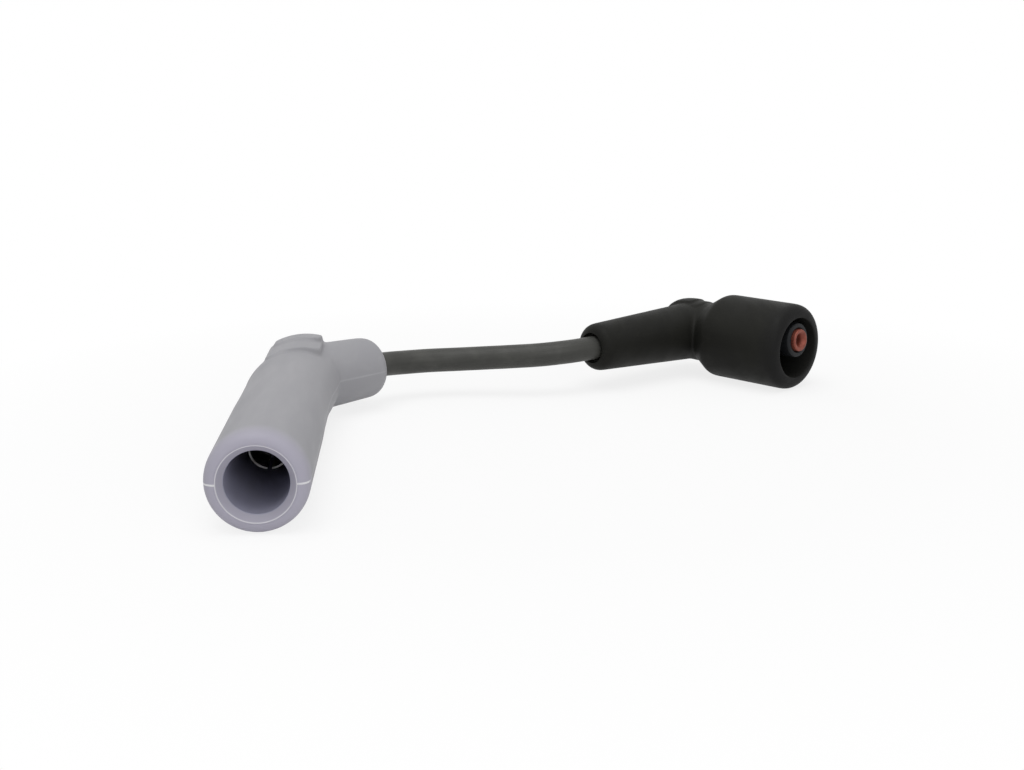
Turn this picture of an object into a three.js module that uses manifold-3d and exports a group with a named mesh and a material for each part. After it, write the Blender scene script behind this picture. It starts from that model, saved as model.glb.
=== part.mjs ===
// Spark plug wire: a grey silicone boot for the plug, a black rubber boot for the ignition coil, the short
// cable between them, and a metal terminal inside each boot.
// Millimetres, +Z up. The plug boot's barrel lies along Y with its mouth facing -Y, both boots lie on the
// surface below, and the cable's route decides where each boot sits.

import * as THREE from 'three';
import { mergeVertices } from 'three/addons/utils/BufferGeometryUtils.js';
import Module from 'manifold-3d';

const wasm = await Module();
wasm.setup();

// Fits and fineness
const CLEARANCE = 0.3; // between a piece and what it seats in
const CUT_OVERRUN = 1; // how far a cutting shape runs past the face it opens
const BOOT_SIDES = 40;
const METAL_SIDES = 20;
const CABLE_SIDES = 12;
const WIRE_SIDES = 8;
const ROUND_STEPS = 5;
const PATH_STEPS = 14;
const DOME_FULLNESS = 3; // 2 would be an ellipse

// Cable, from its cut end in the plug boot to its cut end in the coil boot
const CABLE_DIAMETER = 7;
const JACKET_WALL = 0.8;
const CONDUCTOR_DIAMETER = 1.6;
const CABLE_STEPS = 26;
const CABLE_ROUTE = [
  [8.95, 101.6, 11.3], [15.1, 106.7, 11.3], [21.24, 111.84, 11.3], [25, 114.7, 11.1], [28.9, 116.9, 10.9],
  [37.1, 119.6, 10.8], [45.3, 120.3, 10.9], [53.8, 119.8, 11.3], [62.1, 118.9, 11.8], [70.4, 118.5, 12.3],
  [78.4, 119.8, 12.8], [82.3, 121.4, 12.95], [85.94, 123.66, 13], [95.2, 130.3, 13], [104.46, 136.94, 13],
].map((point) => new THREE.Vector3(...point));
const PLUG_EXIT = CABLE_ROUTE[2];
const COIL_EXIT = CABLE_ROUTE[12];

// Plug boot, with lengths along the barrel from its mouth
const plug = {
  barrelDiameter: 22.6,
  mouthBore: 14,
  mouthBoreDepth: 44,
  leadInWidth: 1.45,
  leadInDepth: 1.5,
  lipWidth: 0.7,
  mouthRound: 3,
  frontLength: 42,
  waistDiameter: 22,
  waistStart: 56,
  waistEnd: 66,
  domeStart: 74,
  domeEnd: 104.5,
  swing: 4, // how far the dome's tip is carried over towards the sleeve
  elbow: 94.1,
  turn: 50.2, // degrees from the barrel's own direction to the sleeve's
  sleeveLength: 27.6,
  sleeveRootDiameter: 19.4,
  sleeveEndDiameter: 17.4,
  sleeveEndRound: 4,
  pads: {
    lower: { height: 0.6, crown: 16, shift: 2, rear: 88, front: 80, slant: 0.5, left: -5.8, right: 8.3, corner: 2 },
    upper: { height: 1.5, crown: 18, shift: 3.2, rear: 92, front: 90, slant: 0.2, left: -4.9, right: 7.4, corner: 2 },
  },
};

// Coil boot, with lengths along the barrel from its mouth
const coil = {
  barrelDiameter: 26,
  recessDiameter: 18,
  recessDepth: 26,
  mouthRound: 3,
  shoulderStart: 27.6,
  shoulderEnd: 32.8,
  shoulderSlant: 0.07, // how much nearer the mouth it lies on top than below, per millimetre of height
  neckDiameter: 18.6,
  domeStart: 38,
  domeEnd: 49,
  elbow: 39.7,
  turn: -85.2,
  sleeveLength: 44.8,
  sleeveRootDiameter: 18.2,
  sleeveEndDiameter: 14.4,
  sleeveEndRound: 3,
  pads: {
    lower: { height: 0.3, crown: 9.6, shift: 0, rear: 38, front: 35, slant: 0, left: -4.6, right: 5.5, corner: 2 },
    upper: { height: 0.7, crown: 10, shift: 0, rear: 38, front: 38.6, slant: 0, left: -3.6, right: 4.5, corner: 1.5 },
  },
};

// Insulator tube that stands in the coil boot's recess, seated in its floor
const post = {
  diameter: 10.4,
  length: 31,
  rise: 2.4, // how far it leans up at the mouth, where it ends
};

// Terminals
const socket = {
  diameter: 9.2,
  sheet: 0.45,
  rimDepth: 26.5, // from the boot's mouth
  length: 20,
  taperLength: 4,
  seamGap: 1.2,
  seamAngle: 6,
  neckDiameter: 5.7,
  neckWall: 0.75,
  collarStep: 0.2,
  bend: 7, // from the elbow's corner to each end of the neck's bend
};
const ferrule = {
  diameter: 6.7,
  proud: 1, // of the tube's end
  hole: 3.1,
  holeDepth: 13,
  holeLeadIn: 0.5,
  length: 15,
  taperLength: 1.8,
  stemDiameter: 3.2,
  collarStep: 0.15, // from the collar of each end down to the rod between them
  bend: 6.5,
};
const crimp = {
  wall: 0.6,
  length: 9,
  coneLength: 2,
  seamGap: 0.8,
};
const clip = {
  wire: 0.9,
  setBack: 8, // behind the socket's rim
  gapAngle: 70,
  steps: 22,
};

// Sizes that follow from the ones above
const cableBoreRadius = CABLE_DIAMETER / 2 + CLEARANCE;
const crimpRadius = cableBoreRadius + crimp.wall;
const crimpBoreRadius = crimpRadius + CLEARANCE;
const socketBoreRadius = socket.diameter / 2 + CLEARANCE;
const ferruleBoreRadius = ferrule.diameter / 2 + CLEARANCE;
const plugInsertion = PLUG_EXIT.distanceTo(CABLE_ROUTE[0]);
const coilInsertion = COIL_EXIT.distanceTo(CABLE_ROUTE[14]);
const plugCrimpStart = plug.sleeveLength - plugInsertion - CLEARANCE;
const coilCrimpStart = coil.sleeveLength - coilInsertion - CLEARANCE;

// A closed solid from any closed geometry
function solid(geometry) {
  const bare = geometry.index ? geometry.toNonIndexed() : geometry.clone();
  bare.deleteAttribute('normal');
  bare.deleteAttribute('uv');
  const merged = mergeVertices(bare, 1e-4);
  return new wasm.Manifold(new wasm.Mesh({
    numProp: 3,
    vertProperties: new Float32Array(merged.attributes.position.array),
    triVerts: new Uint32Array(merged.index.array),
  }));
}

// The geometry of a finished solid
function skin(manifold) {
  const { vertProperties, triVerts } = manifold.getMesh();
  const geometry = new THREE.BufferGeometry();
  geometry.setAttribute('position', new THREE.BufferAttribute(vertProperties, 3));
  geometry.setIndex(new THREE.BufferAttribute(triVerts, 1));
  geometry.computeVertexNormals();
  return geometry;
}

// A turned solid round Y, from a profile of [radius, length] pairs that runs up its outside
function turned(profile, sides) {
  return new THREE.LatheGeometry(profile.map(([radius, length]) => new THREE.Vector2(radius, length)), sides);
}

// A rounded edge that leaves an end face and runs into a side
function faceToSide([r0, s0], [r1, s1]) {
  const angles = Array.from({ length: ROUND_STEPS + 1 }, (_, i) => (i / ROUND_STEPS) * (Math.PI / 2));
  return angles.map((a) => [r0 + (r1 - r0) * Math.sin(a), s0 + (s1 - s0) * (1 - Math.cos(a))]);
}

// A rounded edge that leaves a side and runs into an end face
function sideToFace([r0, s0], [r1, s1]) {
  const angles = Array.from({ length: ROUND_STEPS + 1 }, (_, i) => (i / ROUND_STEPS) * (Math.PI / 2));
  return angles.map((a) => [r0 + (r1 - r0) * (1 - Math.cos(a)), s0 + (s1 - s0) * Math.sin(a)]);
}

// The blunt closed end of a barrel, fuller than an ellipse
function dome([r0, s0], end) {
  const angles = Array.from({ length: 2 * ROUND_STEPS + 1 }, (_, i) => (i / ROUND_STEPS) * (Math.PI / 4));
  const full = (value) => Math.max(value, 0) ** (2 / DOME_FULLNESS);
  return angles.map((a) => [r0 * full(Math.cos(a)), s0 + (end - s0) * full(Math.sin(a))]);
}

// The direction of a boot's sleeve, in the boot's own frame
function sleeveDirection(boot) {
  const turn = THREE.MathUtils.degToRad(boot.turn);
  return new THREE.Vector3(Math.sin(turn), Math.cos(turn), 0);
}

// Moves a turned shape from the barrel's line onto the sleeve's, with its length counted from the elbow
function onSleeve(geometry, boot) {
  return geometry.rotateZ(-THREE.MathUtils.degToRad(boot.turn)).translate(0, boot.elbow, 0);
}

// A round bar or tube along a path
function bar(path, radius, boreRadius, sides, steps) {
  const section = new THREE.Shape();
  section.absarc(0, 0, radius, 0, 2 * Math.PI, false);
  if (boreRadius > 0) {
    const bore = new THREE.Path();
    bore.absarc(0, 0, boreRadius, 0, 2 * Math.PI, true);
    section.holes.push(bore);
  }
  return new THREE.ExtrudeGeometry(section, { steps, extrudePath: path, curveSegments: sides / 2 });
}

// The line of a terminal through its boot: along the barrel, round the elbow and along the sleeve
function elbowPath(start, boot, end, bend) {
  const elbow = new THREE.Vector3(0, boot.elbow, 0);
  const before = elbow.clone().add(start.clone().sub(elbow).setLength(bend));
  const after = elbow.clone().addScaledVector(sleeveDirection(boot), bend);
  const path = new THREE.CurvePath();
  path.add(new THREE.LineCurve3(start, before));
  path.add(new THREE.QuadraticBezierCurve3(before, elbow, after));
  path.add(new THREE.LineCurve3(after, elbow.clone().addScaledVector(sleeveDirection(boot), end)));
  return path;
}

// The crimp that grips the cable's end, with the cone that joins it to the terminal
function crimpSolid(boot, start, neckRadius, neckBore) {
  const coneStart = start - crimp.coneLength;
  const outside = solid(onSleeve(turned([
    [0, coneStart - crimp.coneLength], [neckRadius, coneStart - crimp.coneLength], [neckRadius, coneStart],
    [crimpRadius, start], [crimpRadius, start + crimp.length], [0, start + crimp.length],
  ], METAL_SIDES), boot));
  const inside = solid(onSleeve(turned([
    [0, coneStart - neckBore.depth], [neckBore.radius, coneStart - neckBore.depth],
    [neckBore.radius, coneStart], [cableBoreRadius, start],
    [cableBoreRadius, start + crimp.length + CUT_OVERRUN], [0, start + crimp.length + CUT_OVERRUN],
  ], METAL_SIDES), boot));
  const seam = new THREE.BoxGeometry(crimp.seamGap, crimp.length + CUT_OVERRUN, crimpRadius);
  seam.translate(0, start + (crimp.length + CUT_OVERRUN) / 2 + crimp.wall, crimpRadius);
  return outside.subtract(inside).subtract(solid(onSleeve(seam, boot)));
}

// The raised pads on top of an elbow: plates with a crowned top that rounds off at the rear, each within
// its own outline
function padSolids(boot, rearRadius) {
  return Object.values(boot.pads).map((pad) => {
    const crown = turned([
      [0, 0], [pad.crown, 0], ...dome([pad.crown, pad.rear], boot.domeEnd + pad.height),
    ], 2 * BOOT_SIDES).translate(pad.shift, 0, rearRadius + pad.height - pad.crown);
    const outline = new THREE.Shape();
    const back = boot.domeEnd + pad.height + CUT_OVERRUN;
    const leftFront = pad.front + pad.slant * pad.left;
    const rightFront = pad.front + pad.slant * pad.right;
    outline.moveTo(pad.left, back);
    outline.lineTo(pad.left, leftFront + pad.corner);
    outline.quadraticCurveTo(pad.left, leftFront, pad.left + pad.corner, leftFront + pad.slant * pad.corner);
    outline.lineTo(pad.right - pad.corner, rightFront - pad.slant * pad.corner);
    outline.quadraticCurveTo(pad.right, rightFront, pad.right, rightFront + pad.corner);
    outline.lineTo(pad.right, back);
    const block = new THREE.ExtrudeGeometry(outline, {
      depth: 2 * rearRadius, bevelEnabled: false, curveSegments: ROUND_STEPS,
    });
    return solid(crown).intersect(solid(block.translate(0, 0, rearRadius / 2)));
  });
}

// Carries a barrel's dome over towards the sleeve, more and more up to its tip
function swung(geometry, boot) {
  const { position } = geometry.attributes;
  for (let i = 0; i < position.count; i += 1) {
    const share = Math.max(0, (position.getY(i) - boot.domeStart) / (boot.domeEnd - boot.domeStart));
    position.setX(i, position.getX(i) + boot.swing * share ** 1.3);
  }
  return geometry;
}

// Slants a barrel's shoulder, so that its top lies nearer the mouth than its underside
function slanted(geometry, boot) {
  const { position } = geometry.attributes;
  for (let i = 0; i < position.count; i += 1) {
    const length = position.getY(i);
    if (length >= boot.shoulderStart && length <= boot.shoulderEnd) {
      position.setY(i, length - boot.shoulderSlant * position.getZ(i));
    }
  }
  return geometry;
}

function plugBootSolid() {
  const radius = plug.barrelDiameter / 2;
  const waist = plug.waistDiameter / 2;
  const leadIn = plug.mouthBore / 2 + plug.leadInWidth;
  const barrel = solid(swung(turned([
    [0, 0],
    ...faceToSide([leadIn + plug.lipWidth, 0], [radius, plug.mouthRound]),
    [radius, plug.frontLength],
    [waist, plug.waistStart],
    [waist, plug.waistEnd],
    ...dome([radius, plug.domeStart], plug.domeEnd),
  ], BOOT_SIDES), plug));
  const pads = padSolids(plug, radius);
  const sleeveEnd = plug.sleeveEndDiameter / 2;
  const sleeve = solid(onSleeve(turned([
    [0, 0],
    [plug.sleeveRootDiameter / 2, 0],
    ...sideToFace([sleeveEnd, plug.sleeveLength - plug.sleeveEndRound],
      [sleeveEnd - plug.sleeveEndRound, plug.sleeveLength]),
    [0, plug.sleeveLength],
  ], BOOT_SIDES), plug));
  const flare = plug.leadInWidth / plug.leadInDepth * CUT_OVERRUN;
  const mouth = solid(turned([
    [0, -CUT_OVERRUN],
    [leadIn + flare, -CUT_OVERRUN],
    [plug.mouthBore / 2, plug.leadInDepth],
    [plug.mouthBore / 2, plug.mouthBoreDepth],
    [socketBoreRadius, plug.mouthBoreDepth],
    ...sideToFace([socketBoreRadius, plug.elbow], [0, plug.elbow + socketBoreRadius]),
  ], BOOT_SIDES));
  const cableWay = solid(onSleeve(turned([
    [0, 0],
    [crimpBoreRadius, 0],
    [crimpBoreRadius, plugCrimpStart + crimp.length + CLEARANCE],
    [cableBoreRadius, plugCrimpStart + crimp.length + CLEARANCE + crimp.wall],
    [cableBoreRadius, plug.sleeveLength + CUT_OVERRUN],
    [0, plug.sleeveLength + CUT_OVERRUN],
  ], METAL_SIDES), plug));
  return pads.reduce((sum, pad) => sum.add(pad), barrel.add(sleeve)).subtract(mouth).subtract(cableWay);
}

function plugTerminalSolid() {
  const radius = socket.diameter / 2;
  const neck = socket.neckDiameter / 2;
  const collar = neck + socket.collarStep;
  const rear = socket.rimDepth + socket.length;
  const taperEnd = rear + socket.taperLength;
  const outside = solid(turned([
    [0, socket.rimDepth], [radius, socket.rimDepth], [radius, rear],
    [collar, taperEnd], [collar, taperEnd + socket.taperLength], [0, taperEnd + socket.taperLength],
  ], METAL_SIDES));
  const inside = solid(turned([
    [0, socket.rimDepth - CUT_OVERRUN], [radius - socket.sheet, socket.rimDepth - CUT_OVERRUN],
    [radius - socket.sheet, rear - socket.sheet], [neck - socket.sheet, taperEnd - socket.sheet],
    [neck - socket.sheet, taperEnd + socket.taperLength + CUT_OVERRUN],
    [0, taperEnd + socket.taperLength + CUT_OVERRUN],
  ], METAL_SIDES));
  const seam = new THREE.BoxGeometry(socket.seamGap, socket.length, radius);
  seam.translate(0, socket.rimDepth + socket.length / 2 - CUT_OVERRUN, -radius);
  seam.rotateY(THREE.MathUtils.degToRad(socket.seamAngle));
  const shell = outside.subtract(inside).subtract(solid(seam));
  const path = elbowPath(
    new THREE.Vector3(0, taperEnd, 0), plug, plugCrimpStart - crimp.coneLength, socket.bend,
  );
  const tube = solid(bar(path, neck, neck - socket.neckWall, METAL_SIDES, PATH_STEPS));
  const grip = crimpSolid(plug, plugCrimpStart, collar, {
    radius: neck - socket.sheet, depth: crimp.coneLength + CUT_OVERRUN,
  });
  return shell.add(tube).add(grip);
}

function plugSpringSolid() {
  const radius = socket.diameter / 2 + CLEARANCE + clip.wire / 2;
  const open = THREE.MathUtils.degToRad(clip.gapAngle);
  const points = Array.from({ length: clip.steps + 1 }, (_, i) => {
    const angle = -Math.PI / 2 + open / 2 + (i / clip.steps) * (2 * Math.PI - open);
    return new THREE.Vector3(
      radius * Math.cos(angle), socket.rimDepth + clip.setBack, radius * Math.sin(angle),
    );
  });
  return solid(bar(new THREE.CatmullRomCurve3(points), clip.wire / 2, 0, WIRE_SIDES, clip.steps));
}

// Leans a shape with the coil boot's insulator tube, about the elbow
function leaned(geometry) {
  const lean = Math.atan(post.rise / coil.elbow);
  return geometry.translate(0, -coil.elbow, 0).rotateX(-lean).translate(0, coil.elbow, 0);
}

function coilBootSolid() {
  const radius = coil.barrelDiameter / 2;
  const neck = coil.neckDiameter / 2;
  const seat = post.diameter / 2 + CLEARANCE;
  const barrel = solid(slanted(turned([
    [0, 0],
    ...faceToSide([radius - coil.mouthRound, 0], [radius, coil.mouthRound]),
    [radius, coil.shoulderStart],
    [neck, coil.shoulderEnd],
    ...dome([neck, coil.domeStart], coil.domeEnd),
  ], BOOT_SIDES), coil));
  const pads = padSolids(coil, neck);
  const sleeveEnd = coil.sleeveEndDiameter / 2;
  const sleeve = solid(onSleeve(turned([
    [0, 0],
    [coil.sleeveRootDiameter / 2, 0],
    ...sideToFace([sleeveEnd, coil.sleeveLength - coil.sleeveEndRound],
      [sleeveEnd - coil.sleeveEndRound + CLEARANCE, coil.sleeveLength]),
    [0, coil.sleeveLength],
  ], BOOT_SIDES), coil));
  const recess = solid(turned([
    [0, -CUT_OVERRUN],
    [coil.recessDiameter / 2, -CUT_OVERRUN],
    [coil.recessDiameter / 2, coil.recessDepth],
    [0, coil.recessDepth],
  ], BOOT_SIDES));
  const postWay = solid(leaned(turned([
    [0, 0],
    [seat, 0],
    [seat, post.length + CLEARANCE],
    [ferruleBoreRadius, post.length + CLEARANCE],
    ...sideToFace([ferruleBoreRadius, coil.elbow], [0, coil.elbow + ferruleBoreRadius]),
  ], METAL_SIDES)));
  const cableWay = solid(onSleeve(turned([
    [0, -crimpBoreRadius],
    ...faceToSide([0, -crimpBoreRadius], [crimpBoreRadius, 0]),
    [crimpBoreRadius, coilCrimpStart + crimp.length + CLEARANCE],
    [cableBoreRadius, coilCrimpStart + crimp.length + CLEARANCE + crimp.wall],
    [cableBoreRadius, coil.sleeveLength + CUT_OVERRUN],
    [0, coil.sleeveLength + CUT_OVERRUN],
  ], METAL_SIDES), coil));
  return pads.reduce((sum, pad) => sum.add(pad), barrel.add(sleeve))
    .subtract(recess).subtract(postWay).subtract(cableWay);
}

function postSolid() {
  return solid(leaned(turned([
    [ferruleBoreRadius, 0],
    [post.diameter / 2, 0],
    [post.diameter / 2, post.length],
    [ferruleBoreRadius, post.length],
    [ferruleBoreRadius, 0],
  ], METAL_SIDES)));
}

function coilTerminalSolid() {
  const radius = ferrule.diameter / 2;
  const stem = ferrule.stemDiameter / 2;
  const hole = ferrule.hole / 2;
  const front = -ferrule.proud;
  const rear = front + ferrule.length;
  const outside = solid(leaned(turned([
    [0, front], [radius, front], [radius, rear], [stem, rear + ferrule.taperLength],
    [0, rear + ferrule.taperLength],
  ], METAL_SIDES)));
  const inside = solid(leaned(turned([
    [0, front - ferrule.holeLeadIn], [hole + 2 * ferrule.holeLeadIn, front - ferrule.holeLeadIn],
    [hole, front + ferrule.holeLeadIn], [hole, front + ferrule.holeDepth], [0, front + ferrule.holeDepth],
  ], METAL_SIDES)));
  const start = new THREE.Vector3(
    0, rear, post.rise * (coil.elbow - rear) / coil.elbow,
  );
  const path = elbowPath(start, coil, coilCrimpStart - crimp.coneLength, ferrule.bend);
  const rodRadius = stem - ferrule.collarStep;
  const rod = solid(bar(path, rodRadius, 0, CABLE_SIDES, PATH_STEPS));
  const grip = crimpSolid(coil, coilCrimpStart, stem, { radius: rodRadius, depth: CLEARANCE });
  return outside.subtract(inside).add(rod).add(grip);
}

function material(color, roughness, metalness = 0) {
  return new THREE.MeshStandardMaterial({ color, roughness, metalness });
}

function piece(name, manifold, look) {
  const mesh = new THREE.Mesh(skin(manifold), look);
  mesh.name = name;
  return mesh;
}

// Sets a boot on the cable: its sleeve's end at the cable's exit, and its sleeve in line with the cable
function setOnCable(group, boot, exit, insideEnd) {
  const inward = insideEnd.clone().sub(exit);
  const out = sleeveDirection(boot);
  group.rotation.z = Math.atan2(inward.y, inward.x) - Math.atan2(-out.y, -out.x);
  const sleeveEnd = out.multiplyScalar(boot.sleeveLength).add(new THREE.Vector3(0, boot.elbow, 0));
  group.position.copy(exit).sub(sleeveEnd.applyEuler(group.rotation));
}

const plugEnd = new THREE.Group();
plugEnd.add(
  piece('plug_boot', plugBootSolid(), material(0xa2a2ab, 0.65)),
  piece('plug_terminal', plugTerminalSolid(), material(0xc9c9c6, 0.3, 1)),
  piece('plug_terminal_spring', plugSpringSolid(), material(0xb4b4b2, 0.35, 1)),
);
setOnCable(plugEnd, plug, PLUG_EXIT, CABLE_ROUTE[0]);

const coilEnd = new THREE.Group();
coilEnd.add(
  piece('coil_boot', coilBootSolid(), material(0x222321, 0.7)),
  piece('coil_post', postSolid(), material(0x2e2f2e, 0.55)),
  piece('coil_terminal', coilTerminalSolid(), material(0xb8694a, 0.4, 1)),
);
setOnCable(coilEnd, coil, COIL_EXIT, CABLE_ROUTE[14]);

const cable = new THREE.Group();
const route = new THREE.CatmullRomCurve3(CABLE_ROUTE);
const jacketBore = CABLE_DIAMETER / 2 - JACKET_WALL;
const conductorRadius = CONDUCTOR_DIAMETER / 2;
cable.add(
  piece('cable_jacket', solid(bar(route, CABLE_DIAMETER / 2, jacketBore, CABLE_SIDES, CABLE_STEPS)),
    material(0x454541, 0.55)),
  piece('cable_insulation', solid(bar(route, jacketBore - CLEARANCE, conductorRadius + CLEARANCE,
    CABLE_SIDES, CABLE_STEPS)), material(0xd8d4c8, 0.6)),
  piece('cable_conductor', solid(bar(route, conductorRadius, 0, CABLE_SIDES, CABLE_STEPS)),
    material(0x2a2a2c, 0.7)),
);

// The whole wire stands on Z = 0, with the middle of its two ends at the origin
const wire = new THREE.Group();
wire.add(plugEnd, coilEnd, cable);
wire.updateMatrixWorld(true);
const ends = new THREE.Box3().setFromObject(plugEnd, true).union(new THREE.Box3().setFromObject(coilEnd, true));
const middle = ends.getCenter(new THREE.Vector3());
wire.position.set(-middle.x, -middle.y, -ends.min.z);
wire.updateMatrixWorld(true);

export default wire;
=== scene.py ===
"""A spark plug wire: its two moulded boots, the terminals inside them and the cable between.

Shapes are made in millimetres. Each boot and its terminal are made in the boot's own frame, where the
barrel runs along +Y from its mouth, and are then set on the cable's end in the row frame, in metres.
"""

from __future__ import annotations

import logging
import math
from dataclasses import dataclass, field
from enum import Enum
from typing import Callable, Sequence

import bmesh
import bpy
from mathutils import Matrix, Vector
from mathutils.kdtree import KDTree

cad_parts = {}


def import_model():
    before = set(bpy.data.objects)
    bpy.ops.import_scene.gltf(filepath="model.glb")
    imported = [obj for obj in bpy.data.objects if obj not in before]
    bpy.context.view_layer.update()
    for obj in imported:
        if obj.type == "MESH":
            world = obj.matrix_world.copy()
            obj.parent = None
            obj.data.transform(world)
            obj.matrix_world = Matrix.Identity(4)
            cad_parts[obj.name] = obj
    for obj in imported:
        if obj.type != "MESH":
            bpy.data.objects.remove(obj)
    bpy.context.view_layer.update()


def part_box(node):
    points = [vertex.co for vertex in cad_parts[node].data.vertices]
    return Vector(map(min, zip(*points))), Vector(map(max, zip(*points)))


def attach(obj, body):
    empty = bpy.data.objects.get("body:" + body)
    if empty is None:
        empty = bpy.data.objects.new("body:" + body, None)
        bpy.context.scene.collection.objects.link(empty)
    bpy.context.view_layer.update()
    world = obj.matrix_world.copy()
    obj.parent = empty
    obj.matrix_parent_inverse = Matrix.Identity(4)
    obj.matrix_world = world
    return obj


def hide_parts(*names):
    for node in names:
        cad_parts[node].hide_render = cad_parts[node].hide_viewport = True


log = logging.getLogger("spark_plug_wire")

Point = tuple[float, float]
Colour = tuple[float, float, float]
Shape = bmesh.types.BMesh
Socket = bpy.types.NodeSocket

MM = 0.001
UV_MAP = "length"

# The line that the cable lies on, from its cut end in the plug boot to its cut end in the coil boot,
# in a frame where the plug boot's mouth is at x = 0, y = 0
CABLE_ROUTE = [
    Vector(point)
    for point in (
        (8.95, 101.6, 11.3), (15.1, 106.7, 11.3), (21.24, 111.84, 11.3), (25, 114.7, 11.1),
        (28.9, 116.9, 10.9), (37.1, 119.6, 10.8), (45.3, 120.3, 10.9), (53.8, 119.8, 11.3),
        (62.1, 118.9, 11.8), (70.4, 118.5, 12.3), (78.4, 119.8, 12.8), (82.3, 121.4, 12.95),
        (85.94, 123.66, 13), (95.2, 130.3, 13), (104.46, 136.94, 13),
    )
]
PLUG_EXIT = CABLE_ROUTE[2]
COIL_EXIT = CABLE_ROUTE[12]
CABLE_DIAMETER = 7.0
PLUG_DIAMETER = 22.6
CLEARANCE = 0.3
FINE_SIDES = 128
POST_SIDES = 72
ROUND_STEPS = 8
QUARTER = [step / ROUND_STEPS * math.pi / 2 for step in range(ROUND_STEPS + 1)]


class Cut(Enum):
    """How a second solid changes the first."""

    JOIN = "UNION"
    REMOVE = "DIFFERENCE"
    KEEP = "INTERSECT"


# Shapes


def between(start: Point, end: Point, across: float, along: float) -> Point:
    """The point at one share of the way in radius and at another in length."""
    return (start[0] + (end[0] - start[0]) * across, start[1] + (end[1] - start[1]) * along)


def face_to_side(start: Point, end: Point) -> list[Point]:
    """A rounded edge that leaves an end face and runs into a side."""
    return [between(start, end, math.sin(a), 1 - math.cos(a)) for a in QUARTER]


def side_to_face(start: Point, end: Point) -> list[Point]:
    """A rounded edge that leaves a side and runs into an end face."""
    return [between(start, end, 1 - math.cos(a), math.sin(a)) for a in QUARTER]


def s_bend(start: Point, end: Point) -> list[Point]:
    """A soft step in a side, level at both of its ends."""
    shares = [step / ROUND_STEPS for step in range(1, ROUND_STEPS)]
    return [between(start, end, s * s * (3 - 2 * s), s) for s in shares]


def dome(start: Point, end: float, fullness: float = 3.0) -> list[Point]:
    """The blunt closed end of a barrel.

    Args:
        start: Radius and length where the side ends.
        end: Length at the tip.
        fullness: 2 gives an ellipse, and more gives a blunter end.

    Returns:
        Profile points from the side to the tip.
    """
    steps = 3 * ROUND_STEPS
    angles = [step / steps * math.pi / 2 for step in range(steps + 1)]
    power = 2 / fullness
    return [
        (start[0] * max(math.cos(a), 0) ** power, start[1] + (end - start[1]) * math.sin(a) ** power)
        for a in angles[:-1]
    ] + [(0.0, end)]


def line_through(points: Sequence[Sequence[float]]) -> Shape:
    """A line of edges through some points."""
    mesh = bmesh.new()
    verts = [mesh.verts.new(point) for point in points]
    for pair in zip(verts, verts[1:]):
        mesh.edges.new(pair)
    return mesh


def spun(mesh: Shape, sides: int) -> Shape:
    """Spins an outline all the way round the Y axis, with the faces pointing out."""
    bmesh.ops.spin(
        mesh, geom=mesh.verts[:] + mesh.edges[:], cent=(0, 0, 0), axis=(0, 1, 0),
        angle=2 * math.pi, steps=sides, use_merge=True,
    )
    bmesh.ops.remove_doubles(mesh, verts=mesh.verts, dist=1e-4)
    bmesh.ops.recalc_face_normals(mesh, faces=mesh.faces)
    return mesh


def turned(profile: Sequence[Point], sides: int = 96, step: float = 50.0) -> Shape:
    """Turns a closed solid round the Y axis.

    Args:
        profile: Radius and length pairs that start and end on the axis.
        sides: Flats round the axis.
        step: Longest stretch of profile between two rows.

    Returns:
        The solid, with its faces pointing out.
    """
    rows = []
    for first, second in zip(profile, profile[1:]):
        parts = int(math.dist(first, second) / step) + 1
        rows += [Vector(first).lerp(Vector(second), part / parts) for part in range(parts)]
    return spun(line_through([(row.x, row.y, 0) for row in (*rows, Vector(profile[-1]))]), sides)


def rolled(profile: Sequence[Point], seam: float, sheet: float, sides: int = 72) -> Shape:
    """Rolls sheet metal round the Y axis and leaves its seam open.

    Args:
        profile: Radius and length pairs of the outer skin.
        seam: Width of the open seam at the first radius.
        sheet: Thickness of the sheet.
        sides: Flats round the axis.

    Returns:
        The rolled sheet, with its seam facing down.
    """
    mesh = line_through([(radius, length, 0) for radius, length in profile])
    gap = seam / profile[0][0]
    turn = Matrix.Rotation(math.pi / 2 + gap / 2, 3, "Y")
    bmesh.ops.rotate(mesh, cent=(0, 0, 0), verts=mesh.verts, matrix=turn)
    bmesh.ops.spin(
        mesh, geom=mesh.verts[:] + mesh.edges[:], cent=(0, 0, 0), axis=(0, 1, 0),
        angle=2 * math.pi - gap, steps=sides,
    )
    bmesh.ops.recalc_face_normals(mesh, faces=mesh.faces)
    face = max(mesh.faces, key=lambda f: f.calc_center_median().z)
    if face.normal.z < 0:
        bmesh.ops.reverse_faces(mesh, faces=mesh.faces)
    bmesh.ops.solidify(mesh, geom=mesh.faces[:], thickness=sheet)
    bmesh.ops.recalc_face_normals(mesh, faces=mesh.faces)
    return mesh


def frames_along(path: Sequence[Vector]) -> list[Matrix]:
    """Frames along a path that turn with it and don't twist, each with its Z along the path."""
    headings = [(after - before).normalized() for before, after in zip(path, path[1:])]
    tangents = [headings[0], *((a + b).normalized() for a, b in zip(headings, headings[1:])), headings[-1]]
    turn = tangents[0].to_track_quat("Z", "Y")
    frames = []
    for place, previous, tangent in zip(path, [tangents[0], *tangents], tangents):
        turn = previous.rotation_difference(tangent) @ turn
        frames.append(Matrix.Translation(place) @ turn.to_matrix().to_4x4())
    return frames


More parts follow.
